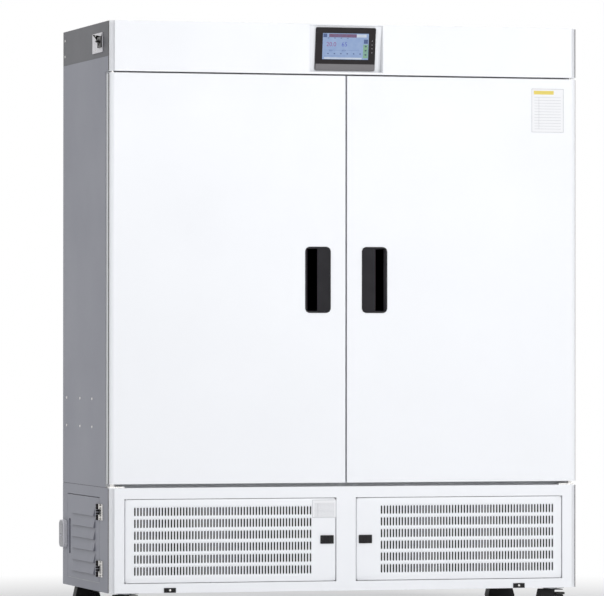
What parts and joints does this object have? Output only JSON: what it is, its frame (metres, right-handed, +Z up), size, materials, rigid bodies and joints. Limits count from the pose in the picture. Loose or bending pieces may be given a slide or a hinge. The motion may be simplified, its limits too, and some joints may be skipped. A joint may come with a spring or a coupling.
{
  "type": "dual-chamber incubator",
  "caption": "Upright laboratory incubator cabinet with side-by-side insulated chambers, hinged doors, a header control panel, grilled machine room and levelling casters.",
  "frame": {"origin": "on the floor, under the middle of the cabinet", "axes": "+X to the right as seen from the front, +Y from the doors to the back, +Z up"},
  "size_m": [1.5853, 0.676, 1.9],
  "materials": {
    "white_paint": "satin powder coat",
    "grey_paint": "fine-textured powder coat",
    "foam": "cut polyurethane foam",
    "stainless": "brushed",
    "galvanised": "zinc-coated sheet",
    "bright_steel": "zinc plated",
    "edge_band": "satin",
    "gasket": "soft vinyl",
    "black_plastic": "fine moulded texture",
    "pale_plastic": "satin",
    "panel_black": "satin gloss",
    "screen": "lit display",
    "fin_metal": "rolled",
    "motor_paint": "gloss black",
    "fan_plastic": "moulded",
    "wheel_nylon": "moulded nylon",
    "rubber": "matte"
  },
  "bodies": {
    "cabinet": {"insulated_body": "foam", "chamber_liners": "stainless", "front_frame": "white_paint", "left_side_panel": "grey_paint", "right_side_panel": "grey_paint", "top_cover": "grey_paint", "rear_panel": "galvanised", "cable_gland": "black_plastic", "base_frame": "galvanised", "left_base_panel": "grey_paint", "right_base_panel": "grey_paint", "service_hinge_leaves": "bright_steel", "header_panel": "white_paint", "instrument_plate": "white_paint", "operator_panel": "panel_black", "operator_screen": "screen", "base_front_panel": "white_paint", "base_clips": "black_plastic", "door_pivots": "bright_steel", "switch_plate": "pale_plastic", "outlet_box": "pale_plastic", "duct_covers": "stainless", "evaporators": "fin_metal", "fan_motors": "motor_paint", "condensers": "fin_metal", "compressors": "motor_paint", "shelf_rails": "stainless", "shelves": "stainless", "caster_plates": "galvanised"},
    "left_door": {"left_door_skin": "white_paint", "left_door_core": "edge_band", "left_door_gasket": "gasket", "left_door_handle": "black_plastic"},
    "right_door": {"right_door_skin": "white_paint", "right_door_core": "edge_band", "right_door_gasket": "gasket", "right_door_handle": "black_plastic"},
    "left_grille": {"left_grille_door": "white_paint"},
    "left_latch": {"left_grille_latch": "black_plastic"},
    "right_grille": {"right_grille_door": "white_paint"},
    "right_latch": {"right_grille_latch": "black_plastic"},
    "service_door": {"service_door": "grey_paint"},
    "breaker_toggle": {"breaker_toggle": "black_plastic"},
    "outlet_flap": {"outlet_flap": "pale_plastic"},
    "left_chamber_fan": {"left_chamber_fan": "fan_plastic"},
    "left_condenser_fan": {"left_condenser_fan": "fan_plastic"},
    "right_chamber_fan": {"right_chamber_fan": "fan_plastic"},
    "right_condenser_fan": {"right_condenser_fan": "fan_plastic"},
    "front_left_caster": {"front_left_caster_housing": "black_plastic"},
    "front_left_wheel": {"front_left_caster_wheel": "wheel_nylon"},
    "front_left_leveller": {"front_left_caster_leveller": "rubber"},
    "front_right_caster": {"front_right_caster_housing": "black_plastic"},
    "front_right_wheel": {"front_right_caster_wheel": "wheel_nylon"},
    "front_right_leveller": {"front_right_caster_leveller": "rubber"},
    "rear_left_caster": {"rear_left_caster_housing": "black_plastic"},
    "rear_left_wheel": {"rear_left_caster_wheel": "wheel_nylon"},
    "rear_left_leveller": {"rear_left_caster_leveller": "rubber"},
    "rear_right_caster": {"rear_right_caster_housing": "black_plastic"},
    "rear_right_wheel": {"rear_right_caster_wheel": "wheel_nylon"},
    "rear_right_leveller": {"rear_right_caster_leveller": "rubber"}
  },
  "joints": [
    {"name": "left_door_hinge", "type": "hinge", "parent": "cabinet", "child": "left_door", "pos_m": [-0.765, -0.302, 1.08], "axis": [0, 0, -1], "range_deg": [0, 115]},
    {"name": "right_door_hinge", "type": "hinge", "parent": "cabinet", "child": "right_door", "pos_m": [0.765, -0.302, 1.08], "axis": [0, 0, 1], "range_deg": [0, 115]},
    {"name": "left_grille_hinge", "type": "hinge", "parent": "cabinet", "child": "left_grille", "pos_m": [-0.725, -0.325, 0.2475], "axis": [0, 0, -1], "range_deg": [0, 100]},
    {"name": "left_latch_slide", "type": "slide", "parent": "left_grille", "child": "left_latch", "axis": [1, 0, 0], "range_m": [0, 0.008]},
    {"name": "right_grille_hinge", "type": "hinge", "parent": "cabinet", "child": "right_grille", "pos_m": [0.725, -0.325, 0.2475], "axis": [0, 0, 1], "range_deg": [0, 100]},
    {"name": "right_latch_slide", "type": "slide", "parent": "right_grille", "child": "right_latch", "axis": [-1, 0, 0], "range_m": [0, 0.008]},
    {"name": "service_door_hinge", "type": "hinge", "parent": "cabinet", "child": "service_door", "pos_m": [-0.7865, -0.192, 0.248], "axis": [0, 0, 1], "range_deg": [0, 110]},
    {"name": "breaker_toggle_tilt", "type": "hinge", "parent": "cabinet", "child": "breaker_toggle", "pos_m": [-0.786, -0.211, 1.836], "axis": [0, -1, 0], "range_deg": [0, 40]},
    {"name": "outlet_flap_hinge", "type": "hinge", "parent": "cabinet", "child": "outlet_flap", "pos_m": [-0.793, 0.295, 0.282], "axis": [0, 1, 0], "range_deg": [0, 90]},
    {"name": "left_chamber_fan_spin", "type": "hinge", "parent": "cabinet", "child": "left_chamber_fan", "pos_m": [-0.375, 0.2198, 1.56], "axis": [0, 1, 0], "continuous": true},
    {"name": "left_condenser_fan_spin", "type": "hinge", "parent": "cabinet", "child": "left_condenser_fan", "pos_m": [-0.42, -0.231, 0.2205], "axis": [0, 1, 0], "continuous": true},
    {"name": "right_chamber_fan_spin", "type": "hinge", "parent": "cabinet", "child": "right_chamber_fan", "pos_m": [0.375, 0.2198, 1.56], "axis": [0, 1, 0], "continuous": true},
    {"name": "right_condenser_fan_spin", "type": "hinge", "parent": "cabinet", "child": "right_condenser_fan", "pos_m": [0.42, -0.231, 0.2205], "axis": [0, 1, 0], "continuous": true},
    {"name": "front_left_caster_swivel", "type": "hinge", "parent": "cabinet", "child": "front_left_caster", "pos_m": [-0.713, -0.26, 0.07], "axis": [0, 0, 1], "continuous": true},
    {"name": "front_left_wheel_roll", "type": "hinge", "parent": "front_left_caster", "child": "front_left_wheel", "pos_m": [-0.729, -0.26, 0.027], "axis": [0, 1, 0], "continuous": true},
    {"name": "front_left_leveller_lift", "type": "slide", "parent": "front_left_caster", "child": "front_left_leveller", "axis": [0, 0, 1], "range_m": [0, 0.008]},
    {"name": "front_right_caster_swivel", "type": "hinge", "parent": "cabinet", "child": "front_right_caster", "pos_m": [0.713, -0.26, 0.07], "axis": [0, 0, 1], "continuous": true},
    {"name": "front_right_wheel_roll", "type": "hinge", "parent": "front_right_caster", "child": "front_right_wheel", "pos_m": [0.697, -0.26, 0.027], "axis": [0, 1, 0], "continuous": true},
    {"name": "front_right_leveller_lift", "type": "slide", "parent": "front_right_caster", "child": "front_right_leveller", "axis": [0, 0, 1], "range_m": [0, 0.008]},
    {"name": "rear_left_caster_swivel", "type": "hinge", "parent": "cabinet", "child": "rear_left_caster", "pos_m": [-0.713, 0.27, 0.07], "axis": [0, 0, 1], "continuous": true},
    {"name": "rear_left_wheel_roll", "type": "hinge", "parent": "rear_left_caster", "child": "rear_left_wheel", "pos_m": [-0.729, 0.27, 0.027], "axis": [0, 1, 0], "continuous": true},
    {"name": "rear_left_leveller_lift", "type": "slide", "parent": "rear_left_caster", "child": "rear_left_leveller", "axis": [0, 0, 1], "range_m": [0, 0.008]},
    {"name": "rear_right_caster_swivel", "type": "hinge", "parent": "cabinet", "child": "rear_right_caster", "pos_m": [0.713, 0.27, 0.07], "axis": [0, 0, 1], "continuous": true},
    {"name": "rear_right_wheel_roll", "type": "hinge", "parent": "rear_right_caster", "child": "rear_right_wheel", "pos_m": [0.697, 0.27, 0.027], "axis": [0, 1, 0], "continuous": true},
    {"name": "rear_right_leveller_lift", "type": "slide", "parent": "rear_right_caster", "child": "rear_right_leveller", "axis": [0, 0, 1], "range_m": [0, 0.008]}
  ]
}
